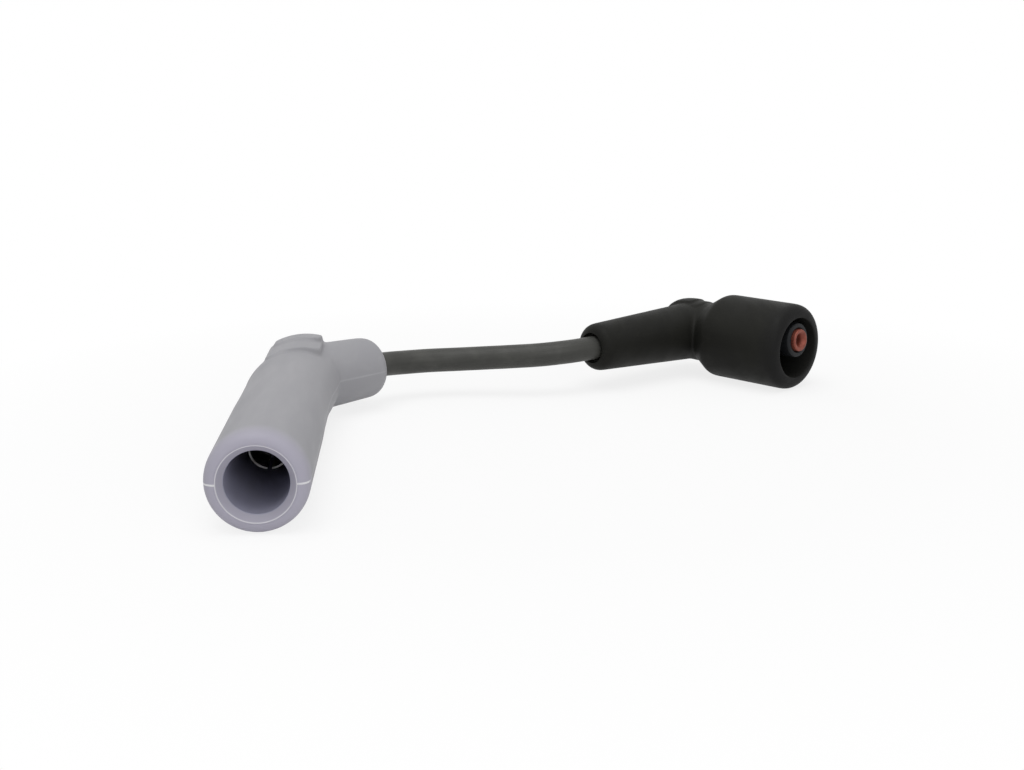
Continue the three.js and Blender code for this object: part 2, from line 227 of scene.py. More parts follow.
def swept(path: Sequence[Vector], radius: float, bore: float = 0.0, sides: int = 32) -> Shape:
    """Sweeps a round bar or tube along a path.

    Args:
        path: Points that the middle of the bar follows.
        radius: Outer radius.
        bore: Radius of the hole, or 0 for a solid bar.
        sides: Flats round the bar.

    Returns:
        The bar, with closed ends.
    """
    mesh = bmesh.new()
    frames = frames_along(path)
    stops = list(frames)
    if bore:
        narrowed = Matrix.Diagonal((bore / radius, bore / radius, 1, 1))
        stops += [frame @ narrowed for frame in reversed(frames)] + [frames[0]]
    ring = bmesh.ops.create_circle(mesh, segments=sides, radius=radius, matrix=stops[0])["verts"]
    first = edges = mesh.edges[:]
    verts = ring
    for before, after in zip(stops, stops[1:]):
        grown = bmesh.ops.extrude_edge_only(mesh, edges=edges)["geom"]
        verts = [item for item in grown if isinstance(item, bmesh.types.BMVert)]
        edges = [item for item in grown if isinstance(item, bmesh.types.BMEdge)]
        bmesh.ops.transform(mesh, matrix=after @ before.inverted(), verts=verts)
    if bore:
        bmesh.ops.remove_doubles(mesh, verts=ring + verts, dist=0.01)
    else:
        bmesh.ops.edgeloop_fill(mesh, edges=first)
        bmesh.ops.edgeloop_fill(mesh, edges=edges)
    bmesh.ops.recalc_face_normals(mesh, faces=mesh.faces)
    return mesh


def smooth_route(points: Sequence[Vector], per_span: int) -> list[Vector]:
    """Samples the smooth curve that passes through some points.

    Args:
        points: What the curve passes through.
        per_span: Samples from one point to the next.

    Returns:
        Points along the curve.
    """
    ends = [points[0] * 2 - points[1], *points, points[-1] * 2 - points[-2]]
    samples = []
    for p0, p1, p2, p3 in zip(ends, ends[1:], ends[2:], ends[3:]):
        a, b, c = (math.sqrt((q - p).length) for p, q in ((p0, p1), (p1, p2), (p2, p3)))
        leave = ((p1 - p0) / a - (p2 - p0) / (a + b) + (p2 - p1) / b) * b
        arrive = ((p2 - p1) / b - (p3 - p1) / (b + c) + (p3 - p2) / c) * b
        for step in range(per_span):
            t = step / per_span
            samples.append(
                p1 * (2 * t**3 - 3 * t**2 + 1) + leave * (t**3 - 2 * t**2 + t)
                + p2 * (3 * t**2 - 2 * t**3) + arrive * (t**3 - t**2)
            )
    return [*samples, points[-1]]


def elbow_path(start: Vector, corner: Vector, end: Vector, bend: float) -> list[Vector]:
    """A path that runs straight, rounds one corner and runs straight again."""
    before = corner + (start - corner).normalized() * bend
    after = corner + (end - corner).normalized() * bend
    shares = [step / ROUND_STEPS for step in range(ROUND_STEPS + 1)]
    return [
        start,
        *(before * (1 - s) ** 2 + corner * 2 * s * (1 - s) + after * s**2 for s in shares),
        end,
    ]


def as_object(mesh: Shape, name: str = "blank") -> bpy.types.Object:
    """Makes a shape into an object in the scene, and uses the shape up."""
    data = bpy.data.meshes.new(name)
    mesh.to_mesh(data)
    mesh.free()
    made = bpy.data.objects.new(name, data)
    bpy.context.scene.collection.objects.link(made)
    return made


def applied(*blanks: bpy.types.Object) -> Shape:
    """Takes the shape that the first blank's modifier makes, and removes the blanks."""
    bpy.context.view_layer.update()
    result = bmesh.new()
    result.from_object(blanks[0], bpy.context.evaluated_depsgraph_get())
    for blank in blanks:
        data = blank.data
        bpy.data.objects.remove(blank)
        bpy.data.meshes.remove(data)
    return result


def combined(first: Shape, second: Shape, how: Cut) -> Shape:
    """Joins two solids, or cuts one with the other, and uses both up.

    Args:
        first: The solid that is changed.
        second: The solid that is joined to it or cuts it.
        how: What is done.

    Returns:
        The new solid.
    """
    blank, tool = as_object(first), as_object(second)
    modifier = blank.modifiers.new("cut", "BOOLEAN")
    modifier.operation = how.value
    modifier.solver = "EXACT"
    modifier.object = tool
    result = applied(blank, tool)
    bmesh.ops.remove_doubles(result, verts=result.verts, dist=0.02)
    return result


def evened(mesh: Shape, cell: float) -> Shape:
    """Gives a solid an even skin of small faces, and uses the first one up.

    Args:
        mesh: The solid.
        cell: Size of the new faces.

    Returns:
        The same solid in its new skin.
    """
    blank = as_object(mesh)
    modifier = blank.modifiers.new("even", "REMESH")
    modifier.mode = "VOXEL"
    modifier.voxel_size = cell
    return applied(blank)


def relaxed(mesh: Shape, times: Callable[[Vector], int]) -> Shape:
    """Rounds a moulding's edges and fills its corners, more in some places than in others.

    Args:
        mesh: The moulding, in an even skin.
        times: How often the surface at a point is smoothed.

    Returns:
        The same moulding.
    """
    counts = {vert: times(vert.co) for vert in mesh.verts}
    for turn in range(max(counts.values())):
        verts = [vert for vert, count in counts.items() if count > turn]
        bmesh.ops.smooth_vert(
            mesh, verts=verts, factor=0.5, use_axis_x=True, use_axis_y=True, use_axis_z=True,
        )
    return mesh


def merged(meshes: Sequence[Shape]) -> Shape:
    """Puts several shapes in one mesh, and uses them up."""
    whole = bmesh.new()
    for mesh in meshes:
        data = bpy.data.meshes.new("loose")
        mesh.to_mesh(data)
        mesh.free()
        whole.from_mesh(data)
        bpy.data.meshes.remove(data)
    return whole


def moved(mesh: Shape, matrix: Matrix) -> Shape:
    """Moves a shape by a matrix."""
    bmesh.ops.transform(mesh, matrix=matrix, verts=mesh.verts)
    return mesh


def cleaned(mesh: Shape) -> Shape:
    """Takes out the faces that a cut can leave back to back, and turns all faces outwards."""
    same: dict[frozenset[bmesh.types.BMVert], list[bmesh.types.BMFace]] = {}
    for face in mesh.faces:
        same.setdefault(frozenset(face.verts), []).append(face)
    doubled = [face for faces in same.values() if len(faces) > 1 for face in faces]
    bmesh.ops.delete(mesh, geom=doubled, context="FACES")
    bmesh.ops.recalc_face_normals(mesh, faces=mesh.faces)
    return mesh


def finished(
    name: str, mesh: Shape, place: Matrix, material: bpy.types.Material, sharp: float = 38.0,
) -> bpy.types.Object:
    """Makes a shape into an object at the origin, with its place in its mesh.

    Args:
        name: The object's name.
        mesh: The shape, which is used up.
        place: From the shape's own millimetres to the row frame.
        material: Its finish.
        sharp: Edges that turn more than this many degrees stay crisp.

    Returns:
        The object.
    """
    bmesh.ops.transform(cleaned(mesh), matrix=place, verts=mesh.verts)
    piece = as_object(mesh, name)
    piece.data.materials.append(material)
    piece.data.shade_smooth()
    piece.data.set_sharp_from_angle(angle=math.radians(sharp))
    return piece


def declare(piece: bpy.types.Object, node: str) -> None:
    """Puts a piece on the body, in place of its plain solid, and reports it."""
    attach(piece, "root")
    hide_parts(node)
    log.info("%s stands for %s, %d faces", piece.name, node, len(piece.data.polygons))


# Finishes


class NodeSheet:
    """The nodes of one material or world, with short ways to add and join them."""

    def __init__(self, owner: bpy.types.Material | bpy.types.World, shader: str = "Principled BSDF") -> None:
        """Starts with the plain shader of a new material or world."""
        owner.use_nodes = True
        self.tree = owner.node_tree
        self.shader = self.tree.nodes[shader]
        self.place = self.tree.nodes.new("ShaderNodeTexCoord").outputs["Object"]

    def add(self, kind: str, inputs: dict[str | int, object], **settings: object) -> bpy.types.Node:
        """Adds a node.

        Args:
            kind: The node's type, without its ShaderNode prefix.
            inputs: Sockets by name or number, each with a value or what is joined to it.
            settings: The node's own settings.

        Returns:
            The node.
        """
        node = self.tree.nodes.new(f"ShaderNode{kind}")
        for key, value in settings.items():
            setattr(node, key, value)
        for key, value in inputs.items():
            self.set(node.inputs[key], value)
        return node

    def set(self, socket: Socket, value: object) -> None:
        """Joins a socket to another, or gives it a value."""
        if isinstance(value, Socket):
            self.tree.links.new(value, socket)
        elif isinstance(value, tuple) and socket.type == "RGBA":
            socket.default_value = (*value, 1.0)
        else:
            socket.default_value = value

    def noise(
        self, size: float, detail: float = 3.0, stretch: Colour = (1, 1, 1), place: object = None,
    ) -> Socket:
        """A noise pattern from 0 to 1.

        Args:
            size: Size of its patches in millimetres.
            detail: How much finer noise lies in it.
            stretch: How much denser it is along each axis.
            place: What it is laid on, or None for the object's own coordinates.

        Returns:
            The pattern.
        """
        scale = tuple(s / (size * MM) for s in stretch)
        scaled = self.add("Mapping", {"Vector": place or self.place, "Scale": scale}).outputs[0]
        return self.add("TexNoise", {"Vector": scaled, "Scale": 1.0, "Detail": detail}).outputs["Fac"]

    def span(self, value: Socket, source: Point, target: Point) -> Socket:
        """Maps one range of a value onto another, and holds it at both ends."""
        names = ("From Min", "From Max", "To Min", "To Max")
        return self.add("MapRange", {"Value": value, **dict(zip(names, source + target))}).outputs[0]

    def seen(self) -> Socket:
        """1 on the rays that the camera sees straight or mirrored, and 0 on those that light things."""
        rays = self.add("LightPath", {}).outputs
        return self.math("MAXIMUM", rays["Is Camera Ray"], rays["Is Glossy Ray"])

    def math(self, operation: str, first: object, second: object = 0.0) -> Socket:
        """Works out a value from two others."""
        return self.add("Math", {0: first, 1: second}, operation=operation).outputs[0]

    def mix(self, share: object, first: object, second: object) -> Socket:
        """Mixes two colours."""
        node = self.add("Mix", {}, data_type="RGBA")
        self.set(node.inputs["Factor"], share)
        self.set(node.inputs[6], first)
        self.set(node.inputs[7], second)
        return node.outputs[2]

    def bump(self, height: Socket, depth: float, below: object = None) -> Socket:
        """Raises the surface by a pattern.

        Args:
            height: The pattern, from 0 to 1.
            depth: How far it raises the surface, in millimetres.
            below: A bump that this one lies on, or None.

        Returns:
            The bumped normal.
        """
        inputs = {"Height": height, "Distance": depth * MM, "Strength": 1.0}
        if below is not None:
            inputs["Normal"] = below
        return self.add("Bump", inputs).outputs[0]


@dataclass(frozen=True)
class Moulding:
    """Moulded rubber or plastic with a fine grain, handling marks and a parting line.

    Round the mouth it takes its mouth colour, which on the grey boot is lighter than its own colour as
    painted light on the front-facing face. Inside, out to inner_radius from the barrel's line and in to
    inner_reach, it takes its inner colour, which on the grey boot is darker than the mouth colour as painted
    shade in the bore. The parting line is clear on the mouth, outside the lip, and faint behind. On the lip,
    at its radius, lies a painted highlight: a thin ring in the seam colour. Lengths are in millimetres.
    """

    name: str
    colour: Colour
    worn: Colour
    # mouth: colour near the mouth; where it is lighter than colour, as on the grey boot, it is painted light
    # on the front-facing face
    mouth: Colour
    # inner: colour inside the bore; on the grey boot it is darker than the mouth colour, as painted shade in
    # the bore
    inner: Colour
    # seam: colour of the parting line, which also paints the lip's highlight
    seam: Colour
    roughness: float
    grain_depth: float
    inner_radius: float
    inner_reach: float
    specular: float = 0.5
    mouth_reach: float = 7.0
    # The lip's radius and width place a painted highlight: a thin ring in the seam colour on the lip
    lip_highlight_radius: float = 0.0
    lip_width: float = 0.15
    seam_width: float = 0.34
    seam_reach: float = 1.4
    seam_rise: float = 0.08
    faint_seam: float = 0.16
    patch_size: float = 12.0
    rub_size: float = 3.0
    dull_size: float = 3.5
    grain_size: float = 0.35
    wave_size: float = 10.0
    uneven: float = 0.06

    def material(self, mouth: Vector, outward: Vector) -> bpy.types.Material:
        """Makes the finish of one boot.

        Args:
            mouth: The middle of its mouth, in metres.
            outward: The way that the mouth faces.

        Returns:
            The material.
        """
        finish = bpy.data.materials.new(self.name)
        sheet = NodeSheet(finish)
        sheet.shader.inputs["Specular IOR Level"].default_value = self.specular
        lengthwise = (1.0, 0.2, 1.0)
        inward = tuple(-outward)
        offset = sheet.add("VectorMath", {0: sheet.place, 1: tuple(mouth)}, operation="SUBTRACT").outputs[0]
        depth = sheet.add("VectorMath", {0: offset, 1: inward}, operation="DOT_PRODUCT").outputs["Value"]
        along = sheet.add("VectorMath", {0: inward, "Scale": depth}, operation="SCALE").outputs[0]
        aside = sheet.add("VectorMath", {0: offset, 1: along}, operation="DISTANCE").outputs["Value"]

        patches = sheet.span(sheet.noise(self.patch_size, 3, lengthwise), (0.42, 0.66), (0.0, 0.8))
        rubbed = sheet.span(sheet.noise(self.rub_size, 4, lengthwise), (0.56, 0.74), (0.0, 0.35))
        half_worn = tuple((a + b) / 2 for a, b in zip(self.colour, self.worn))
        colour = sheet.mix(patches, self.colour, half_worn)
        colour = sheet.mix(rubbed, colour, self.worn)
        # Painted light: near the mouth the colour turns to the mouth colour, which lightens the front face
        mouth_painted_light = sheet.span(depth, (0.0, self.mouth_reach * MM), (1.0, 0.0))
        colour = sheet.mix(mouth_painted_light, colour, self.mouth)
        # Painted shade: inside the bore's radius and short of inner_reach the colour turns to the inner
        # colour, which darkens the grey boot's bore below the mouth colour
        wall, bottom = self.inner_radius * MM, self.inner_reach * MM
        past_wall = sheet.span(aside, (wall, wall + 0.15 * MM), (0.0, 1.0))
        past_bottom = sheet.span(depth, (bottom, bottom + MM), (0.0, 1.0))
        colour = sheet.mix(sheet.math("MAXIMUM", past_wall, past_bottom), self.inner, colour)

        level = sheet.math("ABSOLUTE", sheet.add("SeparateXYZ", {0: offset}).outputs["Z"])
        width, reach = self.seam_width * MM, self.seam_reach * MM
        edge = max(self.inner_radius, self.lip_highlight_radius) * MM
        seam = sheet.span(level, (width / 2, width * 0.8), (1.0, 0.0))
        for share in (
            sheet.span(sheet.noise(5, 2), (0.3, 0.6), (0.5, 1.0)),
            sheet.span(depth, (reach, reach * 2), (1.0, self.faint_seam)),
            sheet.span(aside, (edge, edge + 0.1 * MM), (0.0, 1.0)),
        ):
            seam = sheet.math("MULTIPLY", seam, share)
        # Painted highlight: a thin ring in the seam colour round the lip, within the first 0.6 mm of the
        # mouth
        beside = sheet.math("ABSOLUTE", sheet.math("SUBTRACT", aside, self.lip_highlight_radius * MM))
        lip = sheet.span(beside, (self.lip_width * MM / 2, self.lip_width * MM), (0.65, 0.0))
        lip = sheet.math("MULTIPLY", lip, sheet.span(depth, (0.4 * MM, 0.6 * MM), (1.0, 0.0)))
        # The seam colour paints both the parting line and the lip's painted highlight
        seam_and_highlight = sheet.math("MAXIMUM", seam, lip)
        sheet.set(sheet.shader.inputs["Base Color"], sheet.mix(seam_and_highlight, colour, self.seam))

        dull = sheet.noise(self.dull_size, 4, lengthwise)
        rough = sheet.span(dull, (0.3, 0.7), (self.roughness - self.uneven, self.roughness + self.uneven))
        sheet.set(sheet.shader.inputs["Roughness"], rough)
        grain = sheet.bump(sheet.noise(self.grain_size, 2), self.grain_depth)
        waves = sheet.bump(sheet.noise(self.wave_size, 2, lengthwise), self.grain_depth * 2, grain)
        sheet.set(sheet.shader.inputs["Normal"], sheet.bump(seam, self.seam_rise, waves))
        return finish


@dataclass(frozen=True)
class ExtrudedRubber:
    """Extruded rubber with fine lines along its length."""

    name: str
    colour: Colour
    worn: Colour
    roughness: float
    line_depth: float
    specular: float = 0.25

    def material(self) -> bpy.types.Material:
        """Makes the finish, which follows the piece's own UV map."""
        finish = bpy.data.materials.new(self.name)
        sheet = NodeSheet(finish)
        sheet.shader.inputs["Specular IOR Level"].default_value = self.specular
        along = sheet.add("UVMap", {}, uv_map=UV_MAP).outputs[0]
        lines = sheet.noise(0.5, 2, (1.0, 0.03, 1.0), along)
        marks = sheet.span(sheet.noise(7, 5), (0.5, 0.75), (0.0, 0.8))
        colour = sheet.mix(marks, self.colour, self.worn)
        colour = sheet.mix(sheet.span(lines, (0.3, 0.7), (0.0, 0.18)), colour, self.worn)
        sheet.set(sheet.shader.inputs["Base Color"], colour)
        rough = sheet.span(sheet.noise(4, 4), (0.3, 0.7), (self.roughness - 0.06, self.roughness + 0.08))
        sheet.set(sheet.shader.inputs["Roughness"], rough)
        fine = sheet.bump(sheet.noise(0.3, 2), self.line_depth / 2)
        sheet.set(sheet.shader.inputs["Normal"], sheet.bump(lines, self.line_depth, fine))
        return finish


@dataclass(frozen=True)
class SheetMetal:
    """Drawn or rolled metal with drawing lines and a little tarnish."""

    name: str
    colour: Colour
    tarnish: Colour
    roughness: float
    metallic: float = 1.0
    line_depth: float = 0.01

    def material(self) -> bpy.types.Material:
        """Makes the finish."""
        finish = bpy.data.materials.new(self.name)
        sheet = NodeSheet(finish)
        sheet.shader.inputs["Metallic"].default_value = self.metallic
        tarnished = sheet.span(sheet.noise(1.6, 5), (0.45, 0.72), (0.0, 0.8))
        sheet.set(sheet.shader.inputs["Base Color"], sheet.mix(tarnished, self.colour, self.tarnish))
        lines = sheet.noise(0.25, 3, (1.0, 0.08, 1.0))
        rough = sheet.span(lines, (0.25, 0.75), (self.roughness - 0.1, self.roughness + 0.12))
        sheet.set(sheet.shader.inputs["Roughness"], rough)
        sheet.set(sheet.shader.inputs["Normal"], sheet.bump(lines, self.line_depth))
        return finish


# Its mouth colour is lighter as painted light on the front face, its inner colour is darker as painted shade
# in the bore, and its seam colour also paints the highlight on the lip
GREY_SILICONE = Moulding(
    "grey_silicone", colour=(0.322, 0.320, 0.340), worn=(0.365, 0.362, 0.378),
    mouth=(0.405, 0.39, 0.465), inner=(0.34, 0.34, 0.43), seam=(0.78, 0.78, 0.80), roughness=0.6,
    grain_depth=0.012, inner_radius=7.05, inner_reach=50, specular=0.35, lip_highlight_radius=8.45,
)
BLACK_RUBBER = Moulding(
    "black_rubber", colour=(0.011, 0.011, 0.0095), worn=(0.018, 0.018, 0.015),
    mouth=(0.011, 0.011, 0.011), inner=(0.012, 0.012, 0.011), seam=(0.011, 0.011, 0.010),
    roughness=0.55, grain_depth=0.012, inner_radius=9.1, inner_reach=27, specular=0.1, seam_rise=0.01,
)
# Its mouth colour, a little lighter and bluer, is painted light on the post's front near the opening
HARD_INSULATOR = Moulding(
    "hard_insulator", colour=(0.010, 0.010, 0.011), worn=(0.014, 0.014, 0.015),
    mouth=(0.012, 0.013, 0.015), inner=(0.010, 0.010, 0.011), seam=(0.012, 0.012, 0.013),
    roughness=0.45, grain_depth=0.006, inner_radius=0, inner_reach=0, specular=0.15, seam_rise=0.01,
)
JACKET_SILICONE = ExtrudedRubber("jacket_silicone", (0.048, 0.048, 0.044), (0.075, 0.075, 0.068), 0.45, 0.01)
PALE_RUBBER = ExtrudedRubber("pale_rubber", (0.65, 0.62, 0.55), (0.48, 0.45, 0.38), 0.6, 0.01)
CARBON_CORE = ExtrudedRubber("carbon_core", (0.02, 0.02, 0.02), (0.06, 0.06, 0.06), 0.5, 0.03)
PLATED_STEEL = SheetMetal("plated_steel", (0.45, 0.45, 0.43), (0.22, 0.21, 0.19), 0.36)
SPRING_STEEL = SheetMetal("spring_steel", (0.35, 0.35, 0.35), (0.20, 0.19, 0.17), 0.38)
COPPER_ALLOY = SheetMetal("copper_alloy", (0.24, 0.062, 0.040), (0.13, 0.030, 0.020), 0.5, 0.5)


# The boots


@dataclass(frozen=True)
class Pad:
    """A raised pad on an elbow, with its outline as lengths from the mouth and from the barrel's line."""

    height: float
    crown: float
    shift: float
    rear: float
    front: float
    slant: float
    left: float
    right: float
    corner: float


@dataclass
class ElbowBoot:
    """A moulded boot: a barrel, an elbow with raised pads on top, and a sleeve that grips the cable."""

    shift: Vector
    exit: Vector
    inside_end: Vector
    barrel_diameter: float
    elbow: float
    turn: float
    sleeve_length: float
    sleeve_root: float
    sleeve_end: float
    sleeve_end_round: float
    rear_diameter: float
    dome_start: float
    dome_end: float
    pads: tuple[Pad, ...]
    crimp_wall: float = 0.6
    crimp_length: float = 9.0
    crimp_cone: float = 2.0
    crimp_groove: float = 0.35
    crimp_seam: float = 0.5
    row_step: float = 0.75
    exit_flare: float = 1.0
    cell: float = 0.37
    blend_times: int = 115
    blend_reach: float = 30.0
    blend_from: float = 5.0
    blend_core: float = 2.5
    even_times: int = 18
    round_times: int = 2
    crisp_core: float = 3.0

    @property
    def out(self) -> Vector:
        """The way that the sleeve runs, in the boot's own frame."""
        return Vector((math.sin(math.radians(self.turn)), math.cos(math.radians(self.turn)), 0))

    @property
    def corner(self) -> Vector:
        """Where the barrel's line meets the sleeve's."""
        return Vector((0, self.elbow, 0))

    @property
    def crimp_start(self) -> float:
        """How far along the sleeve the terminal's crimp starts."""
        return self.sleeve_length - (self.exit - self.inside_end).length - CLEARANCE

    @property
    def crimp_neck(self) -> Vector:
        """Where the terminal's neck runs into the crimp's cone."""
        return self.corner + self.out * (self.crimp_start - self.crimp_cone)

    @property
    def on_sleeve(self) -> Matrix:
        """Moves what is turned about the barrel's line onto the sleeve's."""
        return Matrix.Translation(self.corner) @ Matrix.Rotation(-math.radians(self.turn), 4, "Z")

    @property
    def place(self) -> Matrix:
        """From the boot's own millimetres to the row frame, with the boot hung on the cable's end."""
        inward = self.inside_end - self.exit
        turn = Matrix.Rotation(math.atan2(inward.y, inward.x) - math.atan2(-self.out.y, -self.out.x), 4, "Z")
        hung = self.exit - turn @ (self.out * self.sleeve_length + self.corner)
        return Matrix.Scale(MM, 4) @ Matrix.Translation(hung + self.shift) @ turn

    def finish(self, moulding: Moulding) -> bpy.types.Material:
        """Makes one of the boot's finishes, laid out from its mouth."""
        outward = (self.place.to_3x3() @ Vector((0, -1, 0))).normalized()
        return moulding.material(self.place.translation, outward)

    def add(self, name: str, mesh: Shape, material: bpy.types.Material, node: str, slot: str) -> None:
        """Puts one of the boot's pieces on the body, in place of a plain solid."""
        declare(finished(name, mesh, self.place, material), node)

    def sleeve(self) -> Shape:
        """The tapered sleeve, with its round end."""
        end = self.sleeve_end / 2
        profile = [
            (0, 0), (self.sleeve_root / 2, 0),
            *side_to_face(
                (end, self.sleeve_length - self.sleeve_end_round),
                (end - self.sleeve_end_round, self.sleeve_length),
            ),
            (0, self.sleeve_length),
        ]
        return moved(turned(profile, step=self.row_step), self.on_sleeve)

    def pad(self, pad: Pad) -> Shape:
        """One raised pad: a crowned block that rounds off at the rear, trimmed to its outline."""
        radius = self.rear_diameter / 2
        crown = moved(
            turned([(0, 0), (pad.crown, 0), *dome((pad.crown, pad.rear), self.dome_end + pad.height)], 160),
            Matrix.Translation((pad.shift, 0, radius + pad.height - pad.crown)),
        )
        back = self.dome_end + pad.height + 1
        block = bmesh.new()
        size = Vector((pad.right - pad.left, back - pad.front, 2 * radius))
        middle = Vector(((pad.right + pad.left) / 2, (back + pad.front) / 2, 1.5 * radius))
        bmesh.ops.create_cube(block, size=1, matrix=Matrix.Translation(middle) @ Matrix.Diagonal((*size, 1)))
        front = [vert for vert in block.verts if vert.co.y < middle.y]
        uprights = [
            edge for edge in block.edges
            if all(vert in front for vert in edge.verts)
            and abs(edge.verts[0].co.z - edge.verts[1].co.z) > radius
        ]
        for vert in front:
            vert.co.y += pad.slant * vert.co.x
        bmesh.ops.bevel(
            block, geom=uprights, offset=pad.corner, segments=ROUND_STEPS, profile=0.5,
            affect="EDGES", material=-1,
        )
        return combined(crown, block, Cut.KEEP)

    def cable_way(self) -> Shape:
        """The hole through the sleeve: wide round the crimp and close round the cable."""
        bore = CABLE_DIAMETER / 2 + CLEARANCE
        wide = bore + self.crimp_wall + CLEARANCE
        crimp_end = self.crimp_start + self.crimp_length + CLEARANCE
        end, flared = self.sleeve_length, bore + self.exit_flare / 2
        profile = [
            *face_to_side((0, -wide), (wide, 0)),
            (wide, crimp_end), (bore, crimp_end + self.crimp_wall),
            *face_to_side((bore, end - self.exit_flare), (flared, end + 0.1)),
            (flared, end + 1), (0, end + 1),
        ]
        return moved(turned(profile, 64), self.on_sleeve)

    def outside(self, barrel: Shape) -> Shape:
        """The boot's outer form: barrel and sleeve run into each other, and the pads stand on them."""
        body = evened(combined(barrel, self.sleeve(), Cut.JOIN), self.cell)
        body = relaxed(body, self.blending)
        for pad in self.pads:
            body = combined(body, self.pad(pad), Cut.JOIN)
        return relaxed(evened(body, self.cell), self.rounding)

    def hollowed(self, barrel: Shape, holes: Sequence[Shape]) -> Shape:
        """The boot's outer form, with its holes and the cable's way cut out."""
        body = self.outside(barrel)
        for hole in (*holes, self.cable_way()):
            body = combined(body, hole, Cut.REMOVE)
        return body

    def near_elbow(self, place: Vector, core: float) -> float:
        """How near a point is to the elbow, from 0 at the blend's reach to 1 inside its core."""
        return min(1.0, core * max(0.0, 1.0 - (place - self.corner).length / self.blend_reach))

    def blending(self, place: Vector) -> int:
        """How much barrel and sleeve are run into each other at a point: on top and outside the bend."""
        inward = (self.out - Vector((0, 1, 0))).normalized()
        out_of_bend = max(place.z, -inward.dot(place - self.corner))
        share = min(1.0, max(0.0, out_of_bend / self.blend_from))
        return round(self.blend_times * self.near_elbow(place, self.blend_core) * share)

    def rounding(self, place: Vector) -> int:
        """How much the edges are rounded at a point: least round the pads."""
        crisp = self.near_elbow(place, self.crisp_core)
        return self.round_times + round((self.even_times - self.round_times) * (1 - crisp))

    def crimp(self, neck: float) -> Shape:
        """The crimp that grips the cable's end, with the cone that joins it to the terminal."""
        inner = CABLE_DIAMETER / 2 + CLEARANCE
        outer = inner + self.crimp_wall
        low = outer - self.crimp_groove
        start, cone = self.crimp_start, self.crimp_cone
        profile = [
            (neck, start - 2 * cone), (neck, start - cone), (outer, start), (outer, start + 2.2),
            (low, start + 2.8), (low, start + 3.6), (outer, start + 4.2), (outer, start + self.crimp_length),
        ]
        return moved(rolled(profile, self.crimp_seam, self.crimp_wall / 2), self.on_sleeve)


